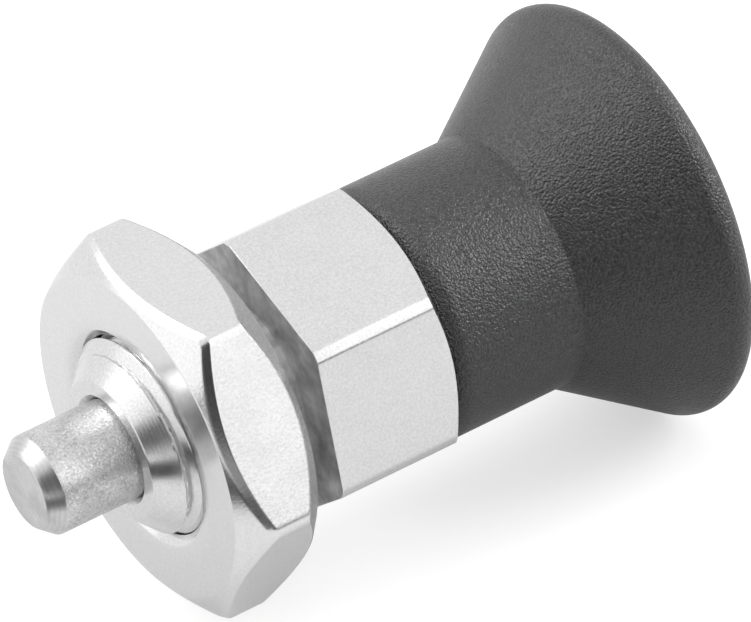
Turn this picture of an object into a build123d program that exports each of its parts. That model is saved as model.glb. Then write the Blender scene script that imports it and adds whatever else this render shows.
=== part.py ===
from build123d import *

import math
import os

# Indexing plunger with a hexagonal collar, a lock nut and a pull knob.
# The plunger's axis is X: the pin points along -X and the knob is at the +X end.
# The origin is the centre of the collar's front face, the seat of the plunger.
# Every length is in millimetres and every angle in degrees.

# Threaded shank, M10 x 1, in front of the collar
thread_radius = 5.0
shank_length = 8.0
shank_end_radius = 3.55
guide_length = 4.0
guide_mouth_chamfer = 0.25

# Hexagonal collar, with its corners turned down
collar_across_flats = 13.0
collar_corner_radius = 7.35
collar_length = 7.0
collar_rear_radius = 6.45
collar_chamfer_angle = 30.0

# Spigot behind the collar, which the knob slides on
spigot_radius = 5.0
spring_bore_radius = 3.5

# Locking pin: pin, shoulder, stem and grooved tail in one turned piece
pin_radius = 2.5
pin_reach = 4.75
pin_tip_radius = 1.9
pin_tip_length = 0.75
shoulder_length = 1.5
stem_radius = 1.6
tail_length = 4.0
tail_groove_width = 1.2
tail_groove_depth = 0.3

# Compression spring with ground ends; six sides stand for the round of the thin wire
wire_radius = 0.25
wire_sides = 6
spring_turns = 4.5

# Guide bush, pressed into the end of the spigot
bush_length = 2.0
bush_step = 0.4

# Lock nut, 17 mm across flats
nut_across_flats = 17.0
nut_thickness = 4.7
nut_standoff = 1.9
nut_turn = -17.5
nut_front_inset = 0.6
nut_front_angle = 35.0
nut_rear_inset = 0.55
nut_rear_angle = 42.0
nut_bore_chamfer = 0.3

# Pull knob: a hollow neck that opens into a flare with a rounded rim
knob_neck_radius = 6.45
knob_neck_length = 7.14
knob_front_chamfer = 0.65
knob_flare_angle = 34.0
knob_rim_radius = 10.5
knob_rim_round = 0.98
knob_back_wall = 1.8

# Fits between the pieces
pin_clearance = 0.03
shoulder_clearance = 0.1
stem_clearance = 0.05
thread_clearance = 0.05
knob_clearance = 0.3
rest_gap = 0.05
knob_gap = 0.1
spigot_end_gap = 0.7
spring_gap = 0.02

# Places along the axis, from the tip of the pin to the back of the knob
pin_tip_x = -shank_length - pin_reach
guide_end_x = guide_length - shank_length
shoulder_front_x = guide_end_x + rest_gap
shoulder_back_x = shoulder_front_x + shoulder_length
nut_rear_x = -nut_standoff
nut_front_x = nut_rear_x - nut_thickness
knob_front_x = collar_length + knob_gap
knob_neck_end_x = knob_front_x + knob_neck_length

# The rim's round touches the straight flare and the flat back
flare = math.radians(knob_flare_angle)
rim_centre_radius = knob_rim_radius - knob_rim_round
rim_rise = rim_centre_radius - knob_neck_radius
rim_centre_x = knob_neck_end_x + (rim_rise * math.cos(flare) + knob_rim_round) / math.sin(flare)
flare_end = (
    rim_centre_x - knob_rim_round * math.sin(flare),
    rim_centre_radius + knob_rim_round * math.cos(flare),
)
knob_back_x = rim_centre_x + knob_rim_round

# The stem's tail ends inside the knob's back, and the spigot ends inside its hollow
tail_end_x = knob_back_x - knob_back_wall
tail_start_x = tail_end_x - tail_length
spigot_end_x = tail_start_x - spigot_end_gap
bush_front_x = spigot_end_x - bush_length
bush_radius = spring_bore_radius + bush_step


def hexagon(across_flats: float, turn: float) -> Sketch:
    """A hexagon of a given width across flats, with corners at +Z and -Z before the turn."""
    return RegularPolygon(across_flats / 2, 6, major_radius=False, rotation=30 + turn)


# Tail of the stem, with a ring groove that the knob's plastic fills
with BuildSketch(Plane.XY) as tail_profile:
    with BuildLine():
        Polyline(
            (tail_start_x, 0),
            (tail_start_x, stem_radius),
            (tail_end_x, stem_radius),
            (tail_end_x, 0),
            close=True,
        )
    make_face()
    with Locations(((tail_start_x + tail_end_x) / 2, stem_radius)):
        Rectangle(tail_groove_width, 2 * tail_groove_depth, mode=Mode.SUBTRACT)

# Body: hexagonal collar, threaded shank and spigot, turned from one bar and bored through
chamfer_slope = math.tan(math.radians(collar_chamfer_angle))
with BuildPart() as body:
    with BuildSketch(Plane.YZ):
        hexagon(collar_across_flats, 0)
    extrude(amount=collar_length)
    with BuildSketch(Plane.XY):
        with BuildLine():
            Polyline(
                (0, 0),
                (0, collar_corner_radius),
                (
                    collar_length - (collar_corner_radius - collar_rear_radius) * chamfer_slope,
                    collar_corner_radius,
                ),
                (collar_length, collar_rear_radius),
                (collar_length, 0),
                close=True,
            )
        make_face()
    revolve(axis=Axis.X, mode=Mode.INTERSECT)
    with BuildSketch(Plane.XY):
        with BuildLine():
            Polyline(
                (-shank_length, 0),
                (-shank_length, shank_end_radius),
                (-shank_length + thread_radius - shank_end_radius, thread_radius),
                (0, thread_radius),
                (0, 0),
                close=True,
            )
        make_face()
        with BuildLine():
            Polyline(
                (collar_length, 0),
                (collar_length, spigot_radius),
                (spigot_end_x, spigot_radius),
                (spigot_end_x, 0),
                close=True,
            )
        make_face()
    revolve(axis=Axis.X)
    guide_radius = pin_radius + pin_clearance
    with BuildSketch(Plane.XY):
        with BuildLine():
            Polyline(
                (-shank_length, 0),
                (-shank_length, guide_radius + guide_mouth_chamfer),
                (-shank_length + guide_mouth_chamfer, guide_radius),
                (guide_end_x, guide_radius),
                (guide_end_x, spring_bore_radius),
                (bush_front_x, spring_bore_radius),
                (bush_front_x, bush_radius),
                (spigot_end_x, bush_radius),
                (spigot_end_x, 0),
                close=True,
            )
        make_face()
    revolve(axis=Axis.X, mode=Mode.SUBTRACT)
body.part.label = "body"

# Lock nut, chamfered in front and behind
nut_corner_radius = nut_across_flats / math.sqrt(3)
nut_front_radius = nut_across_flats / 2 - nut_front_inset
nut_rear_radius = nut_across_flats / 2 - nut_rear_inset
front_slope = math.tan(math.radians(nut_front_angle))
rear_slope = math.tan(math.radians(nut_rear_angle))
with BuildPart() as lock_nut:
    with BuildSketch(Plane.YZ.offset(nut_front_x)):
        hexagon(nut_across_flats, nut_turn)
    extrude(amount=nut_thickness)
    with BuildSketch(Plane.XY):
        with BuildLine():
            Polyline(
                (nut_front_x, 0),
                (nut_front_x, nut_front_radius),
                (nut_front_x + (nut_corner_radius - nut_front_radius) * front_slope, nut_corner_radius),
                (nut_rear_x - (nut_corner_radius - nut_rear_radius) * rear_slope, nut_corner_radius),
                (nut_rear_x, nut_rear_radius),
                (nut_rear_x, 0),
                close=True,
            )
        make_face()
    revolve(axis=Axis.X, mode=Mode.INTERSECT)
    with BuildSketch(Plane.YZ.offset(nut_front_x)):
        Circle(thread_radius + thread_clearance)
    extrude(amount=nut_thickness, mode=Mode.SUBTRACT)
    bore = lock_nut.faces().filter_by(GeomType.CYLINDER)
    chamfer(bore.edges().filter_by(GeomType.CIRCLE), nut_bore_chamfer)
lock_nut.part.label = "lock_nut"

# Locking pin, with its shoulder in front of the spring
with BuildPart() as locking_pin:
    with BuildSketch(Plane.XY):
        with BuildLine():
            Polyline(
                (pin_tip_x, 0),
                (pin_tip_x, pin_tip_radius),
                (pin_tip_x + pin_tip_length, pin_radius),
                (shoulder_front_x, pin_radius),
                (shoulder_front_x, spring_bore_radius - shoulder_clearance),
                (shoulder_back_x, spring_bore_radius - shoulder_clearance),
                (shoulder_back_x, stem_radius),
                (tail_start_x, stem_radius),
                (tail_start_x, 0),
                close=True,
            )
        make_face()
    revolve(axis=Axis.X)
    revolve(profiles=tail_profile.sketch, axis=Axis.X)
locking_pin.part.label = "locking_pin"

# Guide bush, which closes the spring bore and carries the stem
with BuildPart() as guide_bush:
    with BuildSketch(Plane.YZ.offset(bush_front_x)):
        Circle(bush_radius)
        Circle(stem_radius + stem_clearance, mode=Mode.SUBTRACT)
    extrude(amount=bush_length)
guide_bush.part.label = "guide_bush"

# Spring: a helix from the shoulder to the bush, its ends ground square to the axis
spring_front_x = shoulder_back_x + spring_gap
spring_length = bush_front_x - spring_gap - spring_front_x
spring_radius = (stem_radius + spring_bore_radius) / 2
with BuildPart() as spring:
    with BuildLine() as coil:
        Helix(
            pitch=spring_length / spring_turns,
            height=spring_length,
            radius=spring_radius,
            center=(spring_front_x, 0, 0),
            direction=(1, 0, 0),
        )
    with BuildSketch(Plane(coil.line @ 0, z_dir=coil.line % 0)):
        RegularPolygon(wire_radius, wire_sides)
    sweep(is_frenet=True)
    with BuildSketch(Plane.YZ.offset(spring_front_x)):
        Circle(spring_bore_radius)
    extrude(amount=spring_length, mode=Mode.INTERSECT)
spring.part.label = "spring"

# Knob: turned outline, hollow neck over the spigot, hub moulded round the stem's tail
hollow_radius = spigot_radius + knob_clearance
with BuildPart() as knob:
    with BuildSketch(Plane.XY):
        with BuildLine():
            Polyline(
                (knob_back_x, 0),
                (knob_front_x, 0),
                (knob_front_x, knob_neck_radius),
                (knob_neck_end_x, knob_neck_radius),
                flare_end,
            )
            CenterArc(
                (rim_centre_x, rim_centre_radius),
                knob_rim_round,
                90 + knob_flare_angle,
                -90 - knob_flare_angle,
            )
            Line((knob_back_x, rim_centre_radius), (knob_back_x, 0))
        make_face()
    revolve(axis=Axis.X)
    front_edge = knob.edges().filter_by(GeomType.CIRCLE).sort_by(Axis.X)[0]
    chamfer(front_edge, knob_front_chamfer)
    with BuildSketch(Plane.YZ.offset(knob_front_x)):
        Circle(hollow_radius)
    extrude(amount=tail_start_x - knob_front_x, mode=Mode.SUBTRACT)
    revolve(profiles=tail_profile.sketch, axis=Axis.X, mode=Mode.SUBTRACT)
knob.part.label = "knob"

os.makedirs("parts", exist_ok=True)
export_step(body.part, "parts/body.step")
export_step(guide_bush.part, "parts/guide_bush.step")
export_step(lock_nut.part, "parts/lock_nut.step")
export_step(locking_pin.part, "parts/locking_pin.step")
export_step(spring.part, "parts/spring.step")
export_step(knob.part, "parts/knob.step")
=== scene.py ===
"""Dresses the indexing plunger: finely turned and milled pieces, plated steel and grained plastic.

Lengths are written in millimetres and turned into metres where a mesh is made. The plunger's
axis is X: the pin points along -X and the knob is at the +X end.
"""

import logging
import math
from dataclasses import dataclass, field
from enum import Enum
from typing import Callable

import bpy
from mathutils import Matrix, Vector


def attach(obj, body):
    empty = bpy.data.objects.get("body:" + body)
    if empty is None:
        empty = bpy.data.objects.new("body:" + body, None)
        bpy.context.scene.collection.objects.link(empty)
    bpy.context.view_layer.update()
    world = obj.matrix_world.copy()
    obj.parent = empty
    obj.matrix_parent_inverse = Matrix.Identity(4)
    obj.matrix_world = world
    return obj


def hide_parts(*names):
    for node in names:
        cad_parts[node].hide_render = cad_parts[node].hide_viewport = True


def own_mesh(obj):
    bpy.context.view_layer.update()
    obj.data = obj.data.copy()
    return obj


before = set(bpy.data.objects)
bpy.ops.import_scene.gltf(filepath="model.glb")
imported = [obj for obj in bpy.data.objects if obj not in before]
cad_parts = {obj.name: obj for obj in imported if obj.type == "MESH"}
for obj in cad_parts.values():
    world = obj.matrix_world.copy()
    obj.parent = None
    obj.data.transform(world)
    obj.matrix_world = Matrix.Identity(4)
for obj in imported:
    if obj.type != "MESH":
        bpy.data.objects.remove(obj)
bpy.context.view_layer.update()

MM = 0.001
# In millimetres: what counts as nought, and how near the vertices are that a spin closes with
TINY = 0.001
MERGE = 0.002
Station = tuple[float, float]

logging.basicConfig(level=logging.INFO, format="%(message)s")
log = logging.getLogger("plunger")


class Carrier(Enum):
    """The moving body that a piece belongs to."""

    HOUSING = "housing"
    NUT = "nut"
    COIL = "coil"
    PLUNGER = "plunger"


class Slot(Enum):
    """The record's material slot that a piece takes its finish from."""

    PLATED_STEEL = "plated_steel"
    BRIGHT_NUT = "bright_nut"
    PIN_STEEL = "pin_steel"
    SPRING_STEEL = "spring_steel"
    BUSH_STEEL = "bush_steel"
    BLACK_PLASTIC = "black_plastic"


# Small tools for colours, nodes and meshes


def linear(code: str) -> tuple[float, float, float, float]:
    """Turns an sRGB hex colour into linear RGBA.

    Args:
        code: Six hex digits, such as "d8d8d6".

    Returns:
        Linear red, green, blue and an alpha of 1.
    """
    levels = [int(code[i : i + 2], 16) / 255 for i in (0, 2, 4)]
    red, green, blue = [v / 12.92 if v <= 0.04045 else ((v + 0.055) / 1.055) ** 2.4 for v in levels]
    return red, green, blue, 1.0


def add_node(
    tree: bpy.types.NodeTree,
    kind: str,
    values: dict[str | int, object] | None = None,
    links: dict[str | int, bpy.types.NodeSocket] | None = None,
    **settings: object,
) -> bpy.types.Node:
    """Adds a node with its settings, its input values and its links.

    Args:
        tree: Node tree that gets the node.
        kind: Blender's name of the node type.
        values: Input socket to the value that is set on it.
        links: Input socket to the output socket that feeds it.
        **settings: Attributes of the node itself.

    Returns:
        The new node.
    """
    node = tree.nodes.new(kind)
    for setting, value in settings.items():
        setattr(node, setting, value)
    for socket, value in (values or {}).items():
        node.inputs[socket].default_value = value
    for socket, source in (links or {}).items():
        tree.links.new(source, node.inputs[socket])
    return node


def per_mm(size: float) -> float:
    """Gives the scale of a texture on Object coordinates whose features measure size millimetres."""
    return 1 / (size * MM)


def deselect_all() -> None:
    """Leaves edit mode's and object mode's selection empty."""
    if bpy.context.object and bpy.context.object.mode != "OBJECT":
        bpy.ops.object.mode_set(mode="OBJECT")
    bpy.ops.object.select_all(action="DESELECT")


def soft_min(a: float, b: float, blend: float) -> float:
    """The smaller of two radii, rounded where they meet.

    Args:
        a: First radius.
        b: Second radius.
        blend: Difference over which the two are blended.

    Returns:
        The smaller radius, up to a quarter of blend less where both are equal.
    """
    share = max(0.0, min(1.0, 0.5 + 0.5 * (b - a) / blend))
    return b + (a - b) * share - blend * share * (1 - share)


def arc(centre: Station, radius: float, start: float, end: float, steps: int) -> list[Station]:
    """Stations along an arc of an outline.

    Args:
        centre: Place along the axis and radius of the arc's centre.
        radius: Radius of the arc.
        start: Angle of the first station in degrees, from +X towards the outside.
        end: Angle of the last station.
        steps: Number of chords.

    Returns:
        The stations, both ends among them.
    """
    angles = [math.radians(start + (end - start) * i / steps) for i in range(steps + 1)]
    return [(centre[0] + radius * math.cos(a), centre[1] + radius * math.sin(a)) for a in angles]


def run(start: Station, end: Station, step: float) -> list[Station]:
    """Stations along a straight run of an outline.

    Args:
        start: Place along the axis and radius where the run starts.
        end: The same where it ends.
        step: Largest distance between two stations.

    Returns:
        The stations, the end among them and the start not.
    """
    count = max(1, math.ceil(math.dist(start, end) / step))
    return [
        (start[0] + (end[0] - start[0]) * i / count, start[1] + (end[1] - start[1]) * i / count)
        for i in range(1, count + 1)
    ]


def spin_outline(name: str, outline: list[Station], segments: int, closed: bool) -> bpy.types.Object:
    """Draws an outline vertex by vertex and spins it about the X axis into a closed shell.

    Args:
        name: Name of the piece.
        outline: Place along the axis and radius of each vertex, in millimetres.
        segments: Steps of the spin in one turn.
        closed: Whether the outline is a loop; an open one starts and ends on the axis.

    Returns:
        The turned piece, at the origin, with its place in its mesh.
    """
    deselect_all()
    bpy.ops.mesh.primitive_plane_add(size=MM)
    piece = bpy.context.active_object
    piece.name = piece.data.name = name
    bpy.ops.object.mode_set(mode="EDIT")
    bpy.ops.mesh.merge(type="CENTER")
    first = Vector((outline[0][0], 0, outline[0][1])) * MM
    bpy.ops.transform.translate(value=first)
    stations = outline[1:] + (outline[:1] if closed else [])
    place = first
    for x, radius in stations:
        target = Vector((x, 0, radius)) * MM
        bpy.ops.mesh.extrude_vertices_move(TRANSFORM_OT_translate={"value": target - place})
        place = target
    bpy.ops.mesh.select_all(action="SELECT")
    bpy.ops.mesh.spin(steps=segments, angle=math.tau, center=(0, 0, 0), axis=(1, 0, 0))
    bpy.ops.mesh.select_all(action="SELECT")
    bpy.ops.mesh.remove_doubles(threshold=MERGE * MM)
    bpy.ops.mesh.normals_make_consistent(inside=False)
    bpy.ops.object.mode_set(mode="OBJECT")
    return piece


def reshape(piece: bpy.types.Object, rule: Callable[[float, float, float], float]) -> None:
    """Moves the vertices of a turned piece in or out.

    Args:
        piece: The piece to change.
        rule: Gives the new radius for a place along the axis, a radius and an angle about the
            axis from +Y towards +Z, in millimetres and degrees.
    """
    for vertex in piece.data.vertices:
        x, y, z = vertex.co / MM
        radius = math.hypot(y, z)
        if radius < TINY:
            continue
        share = rule(x, radius, math.degrees(math.atan2(z, y))) / radius
        vertex.co.y *= share
        vertex.co.z *= share
    piece.data.update()


def soften(piece: bpy.types.Object, angle: float) -> None:
    """Shades a piece smooth, except across its sharp edges.

    Args:
        piece: The piece to shade.
        angle: Angle in degrees past which an edge stays sharp.
    """
    deselect_all()
    piece.select_set(True)
    bpy.context.view_layer.objects.active = piece
    bpy.ops.object.shade_smooth_by_angle(angle=math.radians(angle))


@dataclass(frozen=True)
class Hexagon:
    """A hexagonal prism's section, as the cutter or the press leaves it."""

    across_flats: float
    first_corner: float
    corner_blend: float

    def radius(self, angle: float, inset: float = 0.0) -> float:
        """Distance from the axis to the prism's surface.

        Args:
            angle: Angle about the axis in degrees.
            inset: How far the flats stand in, as near a rounded end.

        Returns:
            The radius, rounded at the corners.
        """
        off_flat = (angle - self.first_corner) % 60 - 30
        apothem = self.across_flats / 2 - inset
        near = apothem / math.cos(math.radians(off_flat))
        other = apothem / math.cos(math.radians(60 - abs(off_flat)))
        return soft_min(near, other, self.corner_blend)


@dataclass(frozen=True)
class Thread:
    """A right-hand external metric thread with flat crests and rounded roots."""

    radius: float = 5.0
    pitch: float = 1.0
    depth_share: float = 0.6134
    groove_x: float = -6.84
    groove_angle: float = 150.0
    root_blend: float = 0.08

    @property
    def root_radius(self) -> float:
        """Radius at the bottom of the groove."""
        return self.radius - self.depth_share * self.pitch

    def depth_at(self, x: float, angle: float) -> float:
        """Radius of the thread at a place.

        Args:
            x: Place along the axis.
            angle: Angle about the axis in degrees.

        Returns:
            The radius there.
        """
        groove = self.groove_x + self.pitch * (angle - self.groove_angle) / 360
        turns = (x - groove) / self.pitch
        off_groove = abs(turns - round(turns)) * self.pitch
        flank = self.root_radius + (off_groove - self.pitch / 16) * math.tan(math.radians(60))
        return soft_min(self.radius, max(self.root_radius, flank), self.root_blend)


@dataclass(frozen=True)
class Tail:
    """The grooved tail of the pin's stem, which the knob's plastic is moulded round."""

    start: float = 15.724
    end: float = 19.724
    radius: float = 1.6
    groove_width: float = 1.2
    groove_depth: float = 0.3

    def stations(self) -> list[Station]:
        """Stations of the tail's outline.

        Returns:
            The stations from the groove's front edge to the centre of the tail's end.
        """
        middle = (self.start + self.end) / 2
        front, rear = middle - self.groove_width / 2, middle + self.groove_width / 2
        bottom = self.radius - self.groove_depth
        groove = [(front, self.radius), (front, bottom), (rear, bottom), (rear, self.radius)]
        return [*groove, (self.end, self.radius), (self.end, 0.0)]


# Finishes


@dataclass(frozen=True)
class Finish:
    """What all finishes share: a name, a slot, a colour and how the material is begun and ended."""

    name: str
    slot: Slot
    colour: str

    def start(self) -> tuple[bpy.types.Material, bpy.types.NodeTree, bpy.types.NodeSocket]:
        """Starts the material.

        Returns:
            The material, its empty node tree and the Object coordinates.
        """
        material = bpy.data.materials.new(self.name)
        material.use_nodes = True
        tree = material.node_tree
        tree.nodes.clear()
        place = add_node(tree, "ShaderNodeTexCoord").outputs["Object"]
        return material, tree, place

    def from_axis(
        self, tree: bpy.types.NodeTree, place: bpy.types.NodeSocket
    ) -> tuple[bpy.types.NodeSocket, bpy.types.NodeSocket]:
        """Measures places against the part's axis.

        Args:
            tree: Node tree that gets the nodes.
            place: The Object coordinates.

        Returns:
            The place along the axis and the distance from it.
        """
        axes = add_node(tree, "ShaderNodeSeparateXYZ", links={"Vector": place})
        across = add_node(
            tree, "ShaderNodeCombineXYZ", links={"X": axes.outputs["Y"], "Y": axes.outputs["Z"]}
        )
        radius = add_node(
            tree, "ShaderNodeVectorMath", links={0: across.outputs["Vector"]}, operation="LENGTH"
        )
        return axes.outputs["X"], radius.outputs["Value"]

    def uneven_gloss(
        self, tree: bpy.types.NodeTree, noise: bpy.types.NodeSocket, roughness: tuple[float, float]
    ) -> bpy.types.NodeSocket:
        """Spreads the usual range of a noise over a range of roughness.

        Args:
            tree: Node tree that gets the node.
            noise: Output socket of the noise.
            roughness: Roughness where the noise is low and where it is high.

        Returns:
            The roughness.
        """
        spread = add_node(
            tree,
            "ShaderNodeMapRange",
            values={"From Min": 0.3, "From Max": 0.7, "To Min": roughness[0], "To Max": roughness[1]},
            links={"Value": noise},
        )
        return spread.outputs["Result"]

    def close(
        self,
        tree: bpy.types.NodeTree,
        tone: bpy.types.NodeSocket,
        gloss: bpy.types.NodeSocket,
        relief: bpy.types.Node,
        values: dict[str | int, object],
    ) -> None:
        """Ends the material with its surface.

        Args:
            tree: The material's node tree.
            tone: Output socket of the colour.
            gloss: Output socket of the roughness.
            relief: The last bump.
            values: What is uniform over the surface.
        """
        surface = add_node(
            tree,
            "ShaderNodeBsdfPrincipled",
            values=values,
            links={"Base Color": tone, "Roughness": gloss, "Normal": relief.outputs["Normal"]},
        )
        add_node(tree, "ShaderNodeOutputMaterial", links={"Surface": surface.outputs["BSDF"]})

    def material(self) -> bpy.types.Material:
        """Makes the material; each finish has its own."""
        raise NotImplementedError

    def dress(self, piece: bpy.types.Object) -> None:
        """Gives a piece this finish.

        Args:
            piece: The piece to dress.
        """
        piece.data.materials.clear()
        piece.data.materials.append(self.material())


@dataclass(frozen=True)
class MilledZincPlate(Finish):
    """Free-cutting steel, turned and milled, then zinc plated.

    It looks pale and satin bright, with a fine speckle on the milled flats and fine lines round the
    turned shank. The seat in the gap behind the nut is rougher, and its colour is darkened there as
    painted shade, mottled at random.
    """

    shade: str = "d3d3d3"
    seat_painted_shade: str = "969696"
    grain: float = 0.12
    grain_depth: float = 0.01
    cloud: float = 1.6
    roughness: tuple[float, float] = (0.18, 0.28)
    seat_roughness: float = 0.55
    seat: tuple[float, float] = (-2.1, 0.01)
    seat_blend: tuple[float, float] = (0.1, 0.02)

    def material(self) -> bpy.types.Material:
        """Makes the plated steel.

        Returns:
            The material.
        """
        material, tree, place = self.start()
        cloud = add_node(
            tree,
            "ShaderNodeTexNoise",
            values={"Scale": per_mm(self.cloud), "Detail": 3.0, "Roughness": 0.6},
            links={"Vector": place},
        )
        grain = add_node(
            tree,
            "ShaderNodeTexNoise",
            values={"Scale": per_mm(self.grain), "Detail": 2.0, "Roughness": 0.6},
            links={"Vector": place},
        )
        speckle = add_node(
            tree,
            "ShaderNodeMapRange",
            values={"From Min": 0.3, "From Max": 0.7},
            links={"Value": grain.outputs["Fac"]},
        )
        tone = add_node(
            tree,
            "ShaderNodeMix",
            values={6: linear(self.shade), 7: linear(self.colour)},
            links={0: speckle.outputs["Result"]},
            data_type="RGBA",
        )
        gloss = self.uneven_gloss(tree, cloud.outputs["Fac"], self.roughness)
        # The shank and the seat are turned: their grain runs round the axis
        along, radius = self.from_axis(tree, place)
        front, rear = self.seat
        before_collar = add_node(
            tree,
            "ShaderNodeMapRange",
            values={"From Min": (rear + self.seat_blend[1]) * MM, "From Max": rear * MM},
            links={"Value": along},
        )
        round_axis = add_node(tree, "ShaderNodeCombineXYZ", links={"X": along, "Y": radius})
        turned = add_node(
            tree,
            "ShaderNodeTexNoise",
            values={"Scale": per_mm(self.grain), "Detail": 3.0, "Roughness": 0.6},
            links={"Vector": round_axis.outputs["Vector"]},
        )
        height = add_node(
            tree,
            "ShaderNodeMix",
            links={0: before_collar.outputs["Result"], 2: grain.outputs["Fac"], 3: turned.outputs["Fac"]},
            data_type="FLOAT",
        )
        relief = add_node(
            tree,
            "ShaderNodeBump",
            values={"Strength": 0.6, "Distance": self.grain_depth * MM},
            links={"Height": height.outputs[0]},
        )
        # The seat face and the undercut in front of it, turned last, are rougher than the rest, and their
        # colour is darkened as painted shade of the gap between the nut and the collar
        behind_nut = add_node(
            tree,
            "ShaderNodeMapRange",
            values={"From Min": (front - self.seat_blend[0]) * MM, "From Max": front * MM},
            links={"Value": along},
        )
        seat = add_node(
            tree,
            "ShaderNodeMath",
            links={0: before_collar.outputs["Result"], 1: behind_nut.outputs["Result"]},
            operation="MULTIPLY",
        )
        seat_mottle = add_node(
            tree,
            "ShaderNodeMapRange",
            values={"From Min": 0.3, "From Max": 0.7},
            links={"Value": cloud.outputs["Fac"]},
        )
        # Painted shade: the seat's colour runs from a dark grey to the plate's colour, mottled by the
        # cloud noise
        shaded_seat_tone = add_node(
            tree,
            "ShaderNodeMix",
            values={6: linear(self.seat_painted_shade), 7: linear(self.colour)},
            links={0: seat_mottle.outputs["Result"]},
            data_type="RGBA",
        )
        final_tone = add_node(
            tree,
            "ShaderNodeMix",
            links={0: seat.outputs["Value"], 6: tone.outputs[2], 7: shaded_seat_tone.outputs[2]},
            data_type="RGBA",
        )
        final_gloss = add_node(
            tree,
            "ShaderNodeMix",
            values={3: self.seat_roughness},
            links={0: seat.outputs["Value"], 2: gloss},
            data_type="FLOAT",
        )
        self.close(tree, final_tone.outputs[2], final_gloss.outputs[0], relief, {"Metallic": 1.0})
        return material


@dataclass(frozen=True)
class BrightNickelPlate(Finish):
    """Cold-formed nut, barrel finished and bright nickel plated.

    It looks smooth and mirrors softly, with slow smudges of gloss and a faint unevenness. The
    chamfer behind, which faces the collar, is rougher and speckled, and its colour is darkened as
    painted shade of the gap.
    """

    cone_edge: float
    cone_radius: float
    cone_angle: float
    shade: str = "d5d5d5"
    rear_cone_painted_shade: str = "868686"
    rear_cone_shaded_colour: str = "c8c8c8"
    rear_cone_roughness: float = 0.4
    rear_cone_blend: tuple[float, float] = (0.08, 0.03)
    grain: float = 0.14
    grain_depth: float = 0.008
    cloud: float = 2.4
    swell_depth: float = 0.02
    roughness: tuple[float, float] = (0.14, 0.24)

    def material(self) -> bpy.types.Material:
        """Makes the bright plating.

        Returns:
            The material.
        """
        material, tree, place = self.start()
        cloud = add_node(
            tree,
            "ShaderNodeTexNoise",
            values={"Scale": per_mm(self.cloud), "Detail": 5.0, "Roughness": 0.6},
            links={"Vector": place},
        )
        grain = add_node(
            tree,
            "ShaderNodeTexNoise",
            values={"Scale": per_mm(self.grain), "Detail": 3.0, "Roughness": 0.6},
            links={"Vector": place},
        )
        speckle = add_node(
            tree,
            "ShaderNodeMapRange",
            values={"From Min": 0.2, "From Max": 0.8},
            links={"Value": grain.outputs["Fac"]},
        )
        tone = add_node(
            tree,
            "ShaderNodeMix",
            values={6: linear(self.shade), 7: linear(self.colour)},
            links={0: speckle.outputs["Result"]},
            data_type="RGBA",
        )
        # On the rear cone, the place along the axis plus the radius times the slope is constant
        along, radius = self.from_axis(tree, place)
        slope = math.tan(math.radians(self.cone_angle))
        depth = add_node(
            tree,
            "ShaderNodeMath",
            values={1: slope},
            links={0: radius, 2: along},
            operation="MULTIPLY_ADD",
        )
        cone = self.cone_edge + self.cone_radius * slope
        rear_cone_mask = add_node(
            tree,
            "ShaderNodeMapRange",
            values={
                "From Min": (cone - self.rear_cone_blend[0]) * MM,
                "From Max": (cone - self.rear_cone_blend[1]) * MM,
            },
            links={"Value": depth.outputs["Value"]},
        )
        # Painted shade: the rear cone, which faces the gap before the collar, gets a darker speckled
        # colour
        rear_cone_shaded_tone = add_node(
            tree,
            "ShaderNodeMix",
            values={6: linear(self.rear_cone_painted_shade), 7: linear(self.rear_cone_shaded_colour)},
            links={0: speckle.outputs["Result"]},
            data_type="RGBA",
        )
        final_tone = add_node(
            tree,
            "ShaderNodeMix",
            links={0: rear_cone_mask.outputs["Result"], 6: tone.outputs[2], 7: rear_cone_shaded_tone.outputs[2]},
            data_type="RGBA",
        )
        gloss = self.uneven_gloss(tree, cloud.outputs["Fac"], self.roughness)
        final_gloss = add_node(
            tree,
            "ShaderNodeMix",
            values={3: self.rear_cone_roughness},
            links={0: rear_cone_mask.outputs["Result"], 2: gloss},
            data_type="FLOAT",
        )
        swell = add_node(
            tree,
            "ShaderNodeBump",
            values={"Strength": 0.25, "Distance": self.swell_depth * MM},
            links={"Height": cloud.outputs["Fac"]},
        )
        relief = add_node(
            tree,
            "ShaderNodeBump",
            values={"Strength": 0.6, "Distance": self.grain_depth * MM},
            links={"Height": grain.outputs["Fac"], "Normal": swell.outputs["Normal"]},
        )
        self.close(tree, final_tone.outputs[2], final_gloss.outputs[0], relief, {"Metallic": 1.0})
        return material


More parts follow.
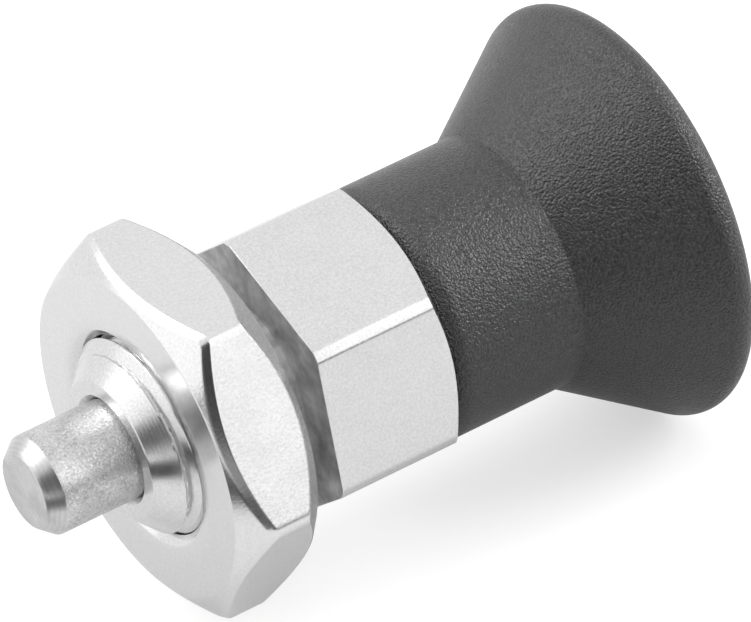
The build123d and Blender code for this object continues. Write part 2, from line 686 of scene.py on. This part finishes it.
@dataclass(frozen=True)
class GroundPinSteel(Finish):
    """Hardened steel pin, ground and tumbled.

    Its side looks frosted, with fine pits and patches of gloss, and its end has turned rings.
    """

    shade: str = "adadad"
    pit: float = 0.11
    patch: float = 1.3
    ring: float = 0.15
    ring_heights: tuple[float, float] = (0.47, 0.53)
    depth: float = 0.025
    tip_edge: float = -12.0
    roughness: tuple[float, float] = (0.24, 0.4)

    def material(self) -> bpy.types.Material:
        """Makes the pin's steel.

        Returns:
            The material.
        """
        material, tree, place = self.start()
        axes = add_node(tree, "ShaderNodeSeparateXYZ", links={"Vector": place})
        side = add_node(
            tree,
            "ShaderNodeMapRange",
            values={"From Min": (self.tip_edge - 0.02) * MM, "From Max": (self.tip_edge + 0.03) * MM},
            links={"Value": axes.outputs["X"]},
        )
        patch = add_node(
            tree,
            "ShaderNodeTexNoise",
            values={"Scale": per_mm(self.patch), "Detail": 4.0, "Roughness": 0.65},
            links={"Vector": place},
        )
        pits = add_node(
            tree,
            "ShaderNodeTexNoise",
            values={"Scale": per_mm(self.pit), "Detail": 3.0, "Roughness": 0.6},
            links={"Vector": place},
        )
        # The real rings are finer than could show, and are drawn 0.15 mm apart. A wave at a scale
        # of 1 is pi / 10 long
        waves = add_node(
            tree,
            "ShaderNodeTexWave",
            values={
                "Scale": per_mm(self.ring) * math.pi / 10,
                "Distortion": 2.0,
                "Detail": 2.0,
                "Detail Scale": 1.0,
            },
            links={"Vector": place},
            wave_type="RINGS",
            rings_direction="X",
        )
        rings = add_node(
            tree,
            "ShaderNodeMapRange",
            values={"To Min": self.ring_heights[0], "To Max": self.ring_heights[1]},
            links={"Value": waves.outputs["Fac"]},
        )
        height = add_node(
            tree,
            "ShaderNodeMix",
            links={0: side.outputs["Result"], 2: rings.outputs["Result"], 3: pits.outputs["Fac"]},
            data_type="FLOAT",
        )
        # Patches with half of the height on top set the tone
        both = add_node(
            tree,
            "ShaderNodeMath",
            values={1: 0.5},
            links={0: patch.outputs["Fac"], 2: height.outputs[0]},
            operation="MULTIPLY_ADD",
        )
        share = add_node(
            tree,
            "ShaderNodeMapRange",
            values={"From Min": 0.56, "From Max": 0.92},
            links={"Value": both.outputs["Value"]},
        )
        tone = add_node(
            tree,
            "ShaderNodeMix",
            values={6: linear(self.shade), 7: linear(self.colour)},
            links={0: share.outputs["Result"]},
            data_type="RGBA",
        )
        gloss = add_node(
            tree,
            "ShaderNodeMapRange",
            values={
                "From Min": 0.55,
                "From Max": 0.95,
                "To Min": self.roughness[1],
                "To Max": self.roughness[0],
            },
            links={"Value": both.outputs["Value"]},
        )
        relief = add_node(
            tree,
            "ShaderNodeBump",
            values={"Strength": 0.8, "Distance": self.depth * MM},
            links={"Height": height.outputs[0]},
        )
        self.close(tree, tone.outputs[2], gloss.outputs["Result"], relief, {"Metallic": 1.0})
        return material


@dataclass(frozen=True)
class TurnedSteel(Finish):
    """Drawn steel wire or a turned steel bush: grey, with an oily gloss and lines round the axis."""

    shade: str = "8c8c8a"
    line: float = 0.12
    line_stretch: float = 0.08
    line_depth: float = 0.006
    roughness: tuple[float, float] = (0.28, 0.42)

    def material(self) -> bpy.types.Material:
        """Makes the turned steel.

        Returns:
            The material.
        """
        material, tree, place = self.start()
        stretch = add_node(
            tree,
            "ShaderNodeMapping",
            values={"Scale": (1.0, self.line_stretch, self.line_stretch)},
            links={"Vector": place},
        )
        lines = add_node(
            tree,
            "ShaderNodeTexNoise",
            values={"Scale": per_mm(self.line), "Detail": 3.0, "Roughness": 0.6},
            links={"Vector": stretch.outputs["Vector"]},
        )
        tone = add_node(
            tree,
            "ShaderNodeMix",
            values={6: linear(self.shade), 7: linear(self.colour)},
            links={0: lines.outputs["Fac"]},
            data_type="RGBA",
        )
        gloss = self.uneven_gloss(tree, lines.outputs["Fac"], self.roughness)
        relief = add_node(
            tree,
            "ShaderNodeBump",
            values={"Strength": 0.4, "Distance": self.line_depth * MM},
            links={"Height": lines.outputs["Fac"]},
        )
        self.close(tree, tone.outputs[2], gloss, relief, {"Metallic": 1.0})
        return material


@dataclass(frozen=True)
class SparkErodedPlastic(Finish):
    """Glass-filled thermoplastic from a spark-eroded mould.

    It looks dark grey, half matt and finely grained; the tops of its granules are painted lighter,
    as painted highlights.
    """

    shade: str = "1c1c1d"
    granule: float = 0.12
    granule_height: float = 0.09
    cloud: float = 2.2
    roughness: tuple[float, float] = (0.27, 0.34)
    ior: float = 1.58

    def material(self) -> bpy.types.Material:
        """Makes the moulded plastic.

        Returns:
            The material.
        """
        material, tree, place = self.start()
        granules = add_node(
            tree,
            "ShaderNodeTexNoise",
            values={"Scale": per_mm(self.granule), "Detail": 1.0, "Roughness": 0.45},
            links={"Vector": place},
        )
        cloud = add_node(
            tree,
            "ShaderNodeTexNoise",
            values={"Scale": per_mm(self.cloud), "Detail": 2.0},
            links={"Vector": place},
        )
        # Painted highlights: the colour is lighter where the granules stand highest
        glint_share = add_node(
            tree,
            "ShaderNodeMapRange",
            values={"From Min": 0.34, "From Max": 0.66},
            links={"Value": granules.outputs["Fac"]},
        )
        tone = add_node(
            tree,
            "ShaderNodeMix",
            values={6: linear(self.shade), 7: linear(self.colour)},
            links={0: glint_share.outputs["Result"]},
            data_type="RGBA",
        )
        gloss = self.uneven_gloss(tree, cloud.outputs["Fac"], self.roughness)
        relief = add_node(
            tree,
            "ShaderNodeBump",
            values={"Strength": 1.0, "Distance": self.granule_height * MM},
            links={"Height": granules.outputs["Fac"]},
        )
        self.close(tree, tone.outputs[2], gloss, relief, {"IOR": self.ior})
        return material


# The pieces


@dataclass
class PlungerBody:
    """Collar, threaded shank and spigot in one piece, bored through for the pin and the spring."""

    thread: Thread = field(default_factory=Thread)
    collar: Hexagon = field(default_factory=lambda: Hexagon(13.0, 30.0, 0.06))
    shank_length: float = 8.0
    shank_end_radius: float = 3.55
    collar_length: float = 7.0
    corner_radius: float = 7.35
    rear_radius: float = 6.45
    rear_angle: float = 30.0
    edge_round: float = 0.07
    edge_blend: float = 0.05
    coarse_from: float = -6.3
    coarse_to: float = -1.7
    thread_end: float = -0.9
    fine_from: float = 5.6
    undercut: float = 0.6
    spigot_radius: float = 5.0
    spigot_chamfer: float = 0.3
    spigot_end: float = 15.024
    bush_front: float = 13.024
    bush_radius: float = 3.9
    spring_bore: float = 3.5
    guide_end: float = -4.0
    guide_radius: float = 2.53
    mouth_chamfer: float = 0.25
    segments: int = 480

    def outline(self) -> list[Station]:
        """The outline to spin, with its widest steps about where the nut hides the thread.

        Returns:
            The stations, from the bore's mouth over the outside and back through the bore.
        """
        front = -self.shank_length
        chamfer_end = front + self.thread.radius - self.shank_end_radius
        rear_depth = (self.corner_radius - self.rear_radius) * math.tan(math.radians(self.rear_angle))
        shoulder = self.collar_length - rear_depth
        mouth = self.guide_radius + self.mouth_chamfer
        stations = [(front + self.mouth_chamfer, self.guide_radius), (front, mouth)]
        stations += [(front, self.shank_end_radius - 0.06), (front + 0.03, self.shank_end_radius)]
        stations += run(stations[-1], (chamfer_end, self.thread.radius), 0.05)
        for end, step in ((self.coarse_from, 0.04), (self.coarse_to, 0.15), (self.thread_end, 0.08)):
            stations += run(stations[-1], (end, self.thread.radius), step)
        stations += [(-self.undercut, self.thread.root_radius), (0.0, self.thread.root_radius)]
        stations += [(0.0, self.corner_radius)]
        stations += [(self.edge_round * share, self.corner_radius) for share in (0.15, 0.5, 1.0)]
        stations += run(stations[-1], (self.fine_from, self.corner_radius), 1.4)
        stations += run(stations[-1], (shoulder, self.corner_radius), 0.08)
        stations += run(stations[-1], (self.collar_length, self.rear_radius), 0.04)
        stations += [(self.collar_length, self.spigot_radius)]
        stations += [(self.spigot_end - self.spigot_chamfer, self.spigot_radius)]
        stations += [(self.spigot_end, self.spigot_radius - self.spigot_chamfer)]
        stations += [(self.spigot_end, self.bush_radius)]
        stations += [(self.bush_front, self.bush_radius), (self.bush_front, self.spring_bore)]
        stations += [(self.guide_end, self.spring_bore), (self.guide_end, self.guide_radius)]
        return stations

    def cut(self, x: float, radius: float, angle: float) -> float:
        """Cuts the thread and mills the flats.

        Args:
            x: Place of a point of the turned blank along the axis.
            radius: Its distance from the axis.
            angle: Its angle about the axis in degrees.

        Returns:
            The point's new distance from the axis.
        """
        if x < -self.undercut / 2:
            thread = self.thread.depth_at(x, angle)
            return min(radius, thread) if radius > self.thread.root_radius else radius
        if radius <= self.spigot_radius + TINY:
            return radius
        short = max(0.0, self.edge_round - x)
        inset = self.edge_round - math.sqrt(self.edge_round**2 - short**2)
        return soft_min(radius - inset, self.collar.radius(angle, inset), self.edge_blend)

    def build(self) -> bpy.types.Object:
        """Spins the blank, cuts the thread and mills the hexagon.

        Returns:
            The dressed body.
        """
        piece = spin_outline("plunger_body", self.outline(), self.segments, closed=True)
        reshape(piece, self.cut)
        soften(piece, 20)
        MilledZincPlate("milled_zinc_plated_steel", Slot.PLATED_STEEL, "e5e5e5").dress(piece)
        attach(piece, Carrier.HOUSING.value)
        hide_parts("body")
        return piece


@dataclass
class HexLockNut:
    """Cold-formed lock nut, chamfered in front and behind, with softly rounded edges.

    A narrow facet is worn along the front edge of each flat.
    """

    hexagon: Hexagon = field(default_factory=lambda: Hexagon(17.0, 12.5, 0.4))
    front: float = -6.6
    rear: float = -1.9
    front_radius: float = 8.1
    front_angle: float = 35.0
    front_facet: float = 0.28
    rear_radius: float = 7.95
    rear_angle: float = 42.0
    edge_round: float = 0.18
    edge_blend: float = 0.05
    pressed_from: float = 7.4
    face_rings: tuple[float, float] = (6.2, 7.0)
    bore: float = 5.05
    countersink: float = 0.4
    segments: int = 480

    def outline(self) -> list[Station]:
        """The outline of the round blank that the hexagon is pressed from.

        Returns:
            The stations, from the bore over the front chamfer, the corners and the rear.
        """
        # The blank is larger than the corners, so that the worn facets leave them their full size
        corner = self.hexagon.across_flats / 2 / math.cos(math.radians(30)) + self.front_facet + 0.05
        mouth = self.bore + self.countersink
        stations = [(self.front + self.countersink, self.bore), (self.front + 0.05, mouth - 0.05)]
        stations += [(self.front, radius) for radius in (mouth + 0.04, *self.face_rings)]
        # Each round starts on the flat end and leaves along its chamfer
        reach = self.edge_round * math.tan(math.radians(self.front_angle / 2))
        centre = (self.front + self.edge_round, self.front_radius - reach)
        stations += arc(centre, self.edge_round, 180, 180 - self.front_angle, 6)
        depth = (corner - self.front_radius) * math.tan(math.radians(self.front_angle))
        stations += run(stations[-1], (self.front + depth, corner), 0.04)
        depth = (corner - self.rear_radius) * math.tan(math.radians(self.rear_angle))
        stations += run(stations[-1], (self.rear - depth, corner), 0.2)
        reach = self.edge_round * math.tan(math.radians(self.rear_angle / 2))
        centre = (self.rear - self.edge_round, self.rear_radius - reach)
        rear_arc = arc(centre, self.edge_round, self.rear_angle, 0, 6)
        stations += run(stations[-1], rear_arc[0], 0.05)
        stations += rear_arc[1:]
        stations += [(self.rear, self.face_rings[1]), (self.rear, mouth)]
        stations += [(self.rear - self.countersink, self.bore)]
        return stations

    def press(self, x: float, radius: float, angle: float) -> float:
        """Presses the flats in, with the worn facet along their front edges.

        Args:
            x: Place of a point of the blank along the axis.
            radius: Its distance from the axis.
            angle: Its angle about the axis in degrees.

        Returns:
            The point's new distance from the axis.
        """
        if radius < self.pressed_from:
            return radius
        flat = self.hexagon.radius(angle)
        pressed = soft_min(radius, flat, self.edge_blend)
        if x > (self.front + self.rear) / 2:
            return pressed
        return soft_min(pressed, (radius + flat - self.front_facet) / 2, self.edge_blend)

    def build(self) -> bpy.types.Object:
        """Spins the blank and presses the hexagon.

        Returns:
            The dressed nut.
        """
        piece = spin_outline("hex_lock_nut", self.outline(), self.segments, closed=True)
        reshape(piece, self.press)
        soften(piece, 40)
        BrightNickelPlate(
            "barrel_finished_bright_plate",
            Slot.BRIGHT_NUT,
            "e9e9e9",
            cone_edge=self.rear,
            cone_radius=self.rear_radius,
            cone_angle=self.rear_angle,
        ).dress(piece)
        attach(piece, Carrier.NUT.value)
        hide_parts("lock_nut")
        return piece


@dataclass
class LockingPin:
    """The ground pin with its chamfered tip, its shoulder, its stem and its grooved tail."""

    tip: float = -12.75
    tip_radius: float = 1.9
    tip_length: float = 0.75
    radius: float = 2.5
    shoulder: tuple[float, float] = (-3.95, -2.45)
    shoulder_radius: float = 3.4
    shoulder_chamfer: float = 0.1
    tail: Tail = field(default_factory=Tail)
    segments: int = 256

    def outline(self) -> list[Station]:
        """The outline to spin, with the edges of the tip's chamfer broken.

        Returns:
            The stations, from the centre of the tip to the centre of the tail's end.
        """
        edge = self.tip + self.tip_length
        front, back = self.shoulder
        rim = self.shoulder_radius - self.shoulder_chamfer
        stations = [(self.tip, 0.0), (self.tip, 0.9), (self.tip, self.tip_radius - 0.06)]
        stations += [(self.tip + 0.015, self.tip_radius - 0.015)]
        stations += [(self.tip + 0.05, self.tip_radius + 0.03)]
        stations += run(stations[-1], (edge - 0.04, self.radius - 0.035), 0.2)
        stations += [(edge, self.radius - 0.01), (edge + 0.06, self.radius)]
        stations += run(stations[-1], (front, self.radius), 0.8)
        stations += [(front, rim), (front + self.shoulder_chamfer, self.shoulder_radius)]
        stations += [(back - self.shoulder_chamfer, self.shoulder_radius), (back, rim)]
        stations += [(back, self.tail.radius), *self.tail.stations()]
        return stations

    def build(self) -> bpy.types.Object:
        """Turns the pin.

        Returns:
            The dressed pin.
        """
        piece = spin_outline("ground_locking_pin", self.outline(), self.segments, closed=False)
        soften(piece, 25)
        GroundPinSteel("ground_and_tumbled_steel", Slot.PIN_STEEL, "dedede").dress(piece)
        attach(piece, Carrier.PLUNGER.value)
        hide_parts("locking_pin")
        return piece


@dataclass
class ReturnSpring:
    """The compression spring between the pin's shoulder and the bush, its ends ground flat."""

    front: float = -2.43
    rear: float = 13.004
    coil_radius: float = 2.55
    wire_radius: float = 0.25
    wire_sides: int = 16
    turns: float = 4.5
    stroke: float = 5.0
    steps_per_turn: int = 64

    def build(self) -> bpy.types.Object:
        """Screws a round of wire along the axis, grinds its ends and attaches it to the coil's body.

        Returns:
            The dressed spring.
        """
        deselect_all()
        bpy.ops.mesh.primitive_circle_add(
            vertices=self.wire_sides,
            radius=self.wire_radius * MM,
            location=(self.front * MM, 0, self.coil_radius * MM),
            rotation=(math.pi / 2, 0, 0),
        )
        piece = bpy.context.active_object
        piece.name = piece.data.name = "return_spring"
        bpy.ops.object.transform_apply(location=True, rotation=True, scale=True)
        length = self.rear - self.front
        screw = piece.modifiers.new("coil", "SCREW")
        screw.axis = "X"
        screw.angle = math.tau * self.turns
        screw.screw_offset = length * MM
        screw.steps = screw.render_steps = round(self.turns * self.steps_per_turn)
        bpy.ops.object.modifier_apply(modifier=screw.name)
        bpy.ops.object.mode_set(mode="EDIT")
        for place, side in ((self.front, -1), (self.rear, 1)):
            bpy.ops.mesh.select_all(action="SELECT")
            bpy.ops.mesh.bisect(
                plane_co=(place * MM, 0, 0), plane_no=(side, 0, 0), use_fill=True, clear_outer=True
            )
        bpy.ops.mesh.select_all(action="SELECT")
        bpy.ops.mesh.fill_holes(sides=0)
        bpy.ops.mesh.select_all(action="SELECT")
        bpy.ops.mesh.normals_make_consistent(inside=False)
        bpy.ops.object.mode_set(mode="OBJECT")
        soften(piece, 40)
        TurnedSteel("drawn_spring_wire", Slot.SPRING_STEEL, "b9b9b7").dress(piece)
        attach(piece, Carrier.COIL.value)
        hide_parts("spring")
        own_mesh(piece)
        return piece


@dataclass
class PullKnob:
    """The moulded knob: a hollow neck, a flare with a rounded rim and a hub round the stem."""

    front: float = 7.1
    neck_end: float = 14.24
    neck_radius: float = 6.45
    hollow_radius: float = 5.3
    front_round: float = 0.95
    flare_angle: float = 34.0
    rim_radius: float = 10.5
    rim_round: float = 0.98
    hollow_corner: float = 0.3
    mouth_chamfer: float = 0.05
    tail: Tail = field(default_factory=Tail)
    segments: int = 480

    def outline(self) -> list[Station]:
        """The outline to spin: the bore of the hub, the hollow, and the outside with its rim.

        Returns:
            The stations, from the bottom of the hub's bore to the centre of the back.
        """
        flare = math.radians(self.flare_angle)
        rise = self.rim_radius - self.rim_round - self.neck_radius
        rim_x = self.neck_end + (rise * math.cos(flare) + self.rim_round) / math.sin(flare)
        hub = self.tail.start
        stations = self.tail.stations()[::-1]
        stations += [(hub, self.tail.radius), (hub, self.hollow_radius - self.hollow_corner)]
        stations += [(hub - self.hollow_corner, self.hollow_radius)]
        stations += [(self.front + self.mouth_chamfer, self.hollow_radius)]
        stations += [(self.front, self.hollow_radius + self.mouth_chamfer)]
        centre = (self.front + self.front_round, self.neck_radius - self.front_round)
        stations += arc(centre, self.front_round, 180, 90, 12)
        stations += run(stations[-1], (self.neck_end, self.neck_radius), 0.8)
        rim = arc((rim_x, self.rim_radius - self.rim_round), self.rim_round, 90 + self.flare_angle, 0, 24)
        stations += run(stations[-1], rim[0], 0.5)
        stations += rim[1:]
        stations += [(rim[-1][0], radius) for radius in (8.0, 6.0, 4.0, 2.0, 0.0)]
        return stations

    def build(self) -> bpy.types.Object:
        """Spins the moulding.

        Returns:
            The dressed knob.
        """
        piece = spin_outline("grained_pull_knob", self.outline(), self.segments, closed=False)
        soften(piece, 28)
        SparkErodedPlastic("spark_eroded_thermoplastic", Slot.BLACK_PLASTIC, "383839").dress(piece)
        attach(piece, Carrier.PLUNGER.value)
        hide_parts("knob")
        return piece


@dataclass
class GuideBush:
    """The pressed-in bush, whose solid keeps its own mesh and gets a turned finish."""

    node: str = "guide_bush"

    def dress(self) -> bpy.types.Object:
        """Gives the bush its turned steel.

        Returns:
            The bush's node.
        """
        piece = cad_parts[self.node]
        steel = TurnedSteel("turned_bush_steel", Slot.BUSH_STEEL, "c4c4c2").material()
        for material_slot in piece.material_slots:
            material_slot.material = steel
        return piece


# The studio


@dataclass(frozen=True)
class Reflector:
    """A soft patch of the surroundings: where it lies, how wide it is and how bright."""

    direction: tuple[float, float, float]
    core: float
    edge: float
    level: float


@dataclass(frozen=True)
class Softbox:
    """A soft square lamp: its name, its place and its side in metres, and its power in watts."""

    name: str
    place: tuple[float, float, float]
    size: float
    watts: float

    def hang(self) -> None:
        """Hangs the lamp so that it faces the object."""
        deselect_all()
        bpy.ops.object.light_add(type="AREA", location=self.place)
        lamp = bpy.context.active_object
        lamp.name = self.name
        lamp.data.shape = "SQUARE"
        lamp.data.size = self.size
        lamp.data.energy = self.watts
        lamp.rotation_euler = (-Vector(self.place)).to_track_quat("-Z", "Y").to_euler()


@dataclass
class Studio:
    """Pale table with a dark card, white surroundings, lamps and a long-lens camera.

    The surroundings have one bright wall at the upper left and a dark gap beside the camera. Lengths
    on the table are in millimetres; the glow is how bright it is by itself to the camera and in
    reflections.
    """

    floor_height: float = -10.6
    floor_size: float = 1.6
    floor_colour: str = "c4c4c4"
    floor_glow: tuple[float, float] = (0.58, 0.18)
    card_colour: str = "3c3c3c"
    card_slant: float = 0.35
    card_middle: float = -40.0
    card_width: float = 28.0
    card_back: float = 2.0
    card_blend: float = 1.0
    table_front: float = -44.0
    table_blend: float = 4.0
    beyond_table: float = 0.3
    surroundings: float = 1.0
    reflectors: tuple[Reflector, ...] = (
        Reflector((-0.88, 0.33, 0.34), 24.0, 34.0, 1.3),
        Reflector((-0.70, -0.69, 0.14), 29.0, 35.0, 0.05),
        Reflector((-0.91, -0.40, 0.08), 11.0, 16.0, 0.12),
        Reflector((-0.99, -0.16, -0.06), 9.0, 13.0, 0.12),
    )
    lamps: tuple[Softbox, ...] = (
        Softbox("key_softbox", (0.42, -0.84, 0.36), 1.1, 1.2),
        Softbox("top_softbox", (-0.42, 0.32, 0.85), 0.7, 4.4),
        Softbox("side_softbox", (0.80, -0.42, 0.43), 0.5, 5.5),
    )
    camera_place: tuple[float, float, float] = (-0.168252, -0.325455, 0.200935)
    camera_right: tuple[float, float, float] = (0.8201154, -0.5463124, -0.1701574)
    camera_up: tuple[float, float, float] = (0.3920080, 0.3198112, 0.8625837)
    camera_back: tuple[float, float, float] = (-0.4168219, -0.7741212, 0.4764409)
    focal_pixels: float = 9000.0
    frame_pixels: tuple[int, int] = (751, 622)
    sensor_width: float = 36.0

    def light_table(self, tree: bpy.types.NodeTree) -> bpy.types.NodeSocket:
        """Works out how light the table is in reflections.

        The table is short in front, and the card lies across it on the left of the object.

        Args:
            tree: The floor's node tree.

        Returns:
            The lightness: 1 on the table, 0 on the card and little beyond the table's front.
        """
        place = add_node(tree, "ShaderNodeTexCoord").outputs["Object"]
        axes = add_node(tree, "ShaderNodeSeparateXYZ", links={"Vector": place})
        along = add_node(
            tree,
            "ShaderNodeVectorMath",
            values={1: (1.0, self.card_slant, 0.0)},
            links={0: place},
            operation="DOT_PRODUCT",
        )
        from_middle = add_node(
            tree,
            "ShaderNodeMath",
            values={1: self.card_middle * MM},
            links={0: along.outputs["Value"]},
            operation="SUBTRACT",
        )
        distance = add_node(
            tree, "ShaderNodeMath", links={0: from_middle.outputs["Value"]}, operation="ABSOLUTE"
        )
        beside = add_node(
            tree,
            "ShaderNodeMapRange",
            values={
                "From Min": (self.card_width / 2 - self.card_blend) * MM,
                "From Max": (self.card_width / 2 + self.card_blend) * MM,
            },
            links={"Value": distance.outputs["Value"]},
        )
        behind = add_node(
            tree,
            "ShaderNodeMapRange",
            values={
                "From Min": (self.card_back - self.card_blend) * MM,
                "From Max": (self.card_back + self.card_blend) * MM,
            },
            links={"Value": axes.outputs["Y"]},
        )
        front = add_node(
            tree,
            "ShaderNodeMapRange",
            values={
                "From Min": (self.table_front - self.table_blend) * MM,
                "From Max": (self.table_front + self.table_blend) * MM,
                "To Min": self.beyond_table,
            },
            links={"Value": axes.outputs["Y"]},
        )
        clear = add_node(
            tree,
            "ShaderNodeMath",
            links={0: beside.outputs["Result"], 1: behind.outputs["Result"]},
            operation="MAXIMUM",
        )
        table = add_node(
            tree,
            "ShaderNodeMath",
            links={0: clear.outputs["Value"], 1: front.outputs["Result"]},
            operation="MULTIPLY",
        )
        return table.outputs["Value"]

    def lay_floor(self) -> None:
        """Lays the floor, which looks white and keeps the object's shadow."""
        deselect_all()
        bpy.ops.mesh.primitive_plane_add(size=self.floor_size, location=(0, 0, self.floor_height * MM))
        floor = bpy.context.active_object
        floor.name = "studio_floor"
        bpy.ops.object.transform_apply(location=True, rotation=True, scale=True)
        material = bpy.data.materials.new("pale_studio_floor")
        material.use_nodes = True
        tree = material.node_tree
        tree.nodes.clear()
        path = add_node(tree, "ShaderNodeLightPath")
        camera = path.outputs["Is Camera Ray"]
        mirrored = add_node(
            tree,
            "ShaderNodeMath",
            links={0: path.outputs["Is Glossy Ray"], 1: path.outputs["Is Transmission Ray"]},
            operation="MAXIMUM",
        )
        pale = add_node(
            tree, "ShaderNodeMath", links={0: self.light_table(tree), 1: camera}, operation="MAXIMUM"
        )
        reflected = add_node(
            tree,
            "ShaderNodeMath",
            values={1: self.floor_glow[1]},
            links={0: mirrored.outputs["Value"]},
            operation="MULTIPLY",
        )
        glowing = add_node(
            tree,
            "ShaderNodeMath",
            values={1: self.floor_glow[0]},
            links={0: camera, 2: reflected.outputs["Value"]},
            operation="MULTIPLY_ADD",
        )
        strength = add_node(
            tree,
            "ShaderNodeMath",
            links={0: glowing.outputs["Value"], 1: pale.outputs["Value"]},
            operation="MULTIPLY",
        )
        glow = add_node(tree, "ShaderNodeEmission", links={"Strength": strength.outputs["Value"]})
        colour = add_node(
            tree,
            "ShaderNodeMix",
            values={6: linear(self.card_colour), 7: linear(self.floor_colour)},
            links={0: pale.outputs["Value"]},
            data_type="RGBA",
        )
        matt = add_node(tree, "ShaderNodeBsdfDiffuse", links={"Color": colour.outputs[2]})
        both = add_node(
            tree, "ShaderNodeAddShader", links={0: matt.outputs["BSDF"], 1: glow.outputs["Emission"]}
        )
        add_node(tree, "ShaderNodeOutputMaterial", links={"Surface": both.outputs["Shader"]})
        floor.data.materials.append(material)

    def surround(self) -> None:
        """Sets the world: white to the camera, and pale with its reflectors to everything else."""
        world = bpy.data.worlds.new("studio_world")
        bpy.context.scene.world = world
        world.use_nodes = True
        tree = world.node_tree
        tree.nodes.clear()
        direction = add_node(tree, "ShaderNodeTexCoord").outputs["Generated"]
        so_far: dict[str | int, bpy.types.NodeSocket] = {}
        for patch in self.reflectors:
            along = add_node(
                tree,
                "ShaderNodeVectorMath",
                values={1: Vector(patch.direction).normalized()},
                links={0: direction},
                operation="DOT_PRODUCT",
            )
            share = add_node(
                tree,
                "ShaderNodeMapRange",
                values={
                    "From Min": math.cos(math.radians(patch.edge)),
                    "From Max": math.cos(math.radians(patch.core)),
                },
                links={"Value": along.outputs["Value"]},
                interpolation_type="SMOOTHSTEP",
            )
            level = add_node(
                tree,
                "ShaderNodeMix",
                values={2: self.surroundings, 3: patch.level},
                links={0: share.outputs["Result"], **so_far},
                data_type="FLOAT",
            )
            so_far = {2: level.outputs[0]}
        path = add_node(tree, "ShaderNodeLightPath")
        strength = add_node(
            tree,
            "ShaderNodeMix",
            values={2: self.surroundings, 3: 1.0},
            links={0: path.outputs["Is Camera Ray"], **so_far},
            data_type="FLOAT",
        )
        background = add_node(
            tree,
            "ShaderNodeBackground",
            values={"Color": (1.0, 1.0, 1.0, 1.0)},
            links={"Strength": strength.outputs[0]},
        )
        add_node(tree, "ShaderNodeOutputWorld", links={"Surface": background.outputs["Background"]})

    def place_camera(self) -> None:
        """Places the camera in front of the plunger, above it and to its left."""
        columns = (self.camera_right, self.camera_up, self.camera_back)
        turn = Matrix(columns).transposed().to_4x4()
        bpy.ops.object.camera_add(location=(0, 0, 0))
        camera = bpy.context.active_object
        camera.matrix_world = Matrix.Translation(self.camera_place) @ turn
        camera.data.sensor_fit = "HORIZONTAL"
        camera.data.sensor_width = self.sensor_width
        camera.data.lens = self.focal_pixels / self.frame_pixels[0] * self.sensor_width
        camera.data.clip_start = 0.01
        camera.data.clip_end = 20.0
        bpy.context.scene.camera = camera

    def build(self) -> None:
        """Sets up the floor, the world, the lamps and the camera."""
        bpy.context.scene.view_settings.view_transform = "Standard"
        self.lay_floor()
        self.surround()
        for lamp in self.lamps:
            lamp.hang()
        self.place_camera()


def main() -> None:
    """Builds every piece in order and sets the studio."""
    for piece in (PlungerBody(), HexLockNut(), LockingPin(), ReturnSpring(), PullKnob()):
        built = piece.build()
        log.info("%s: %d faces", built.name, len(built.data.polygons))
    log.info("%s: dressed", GuideBush().dress().name)
    Studio().build()


if __name__ == "__main__":
    main()
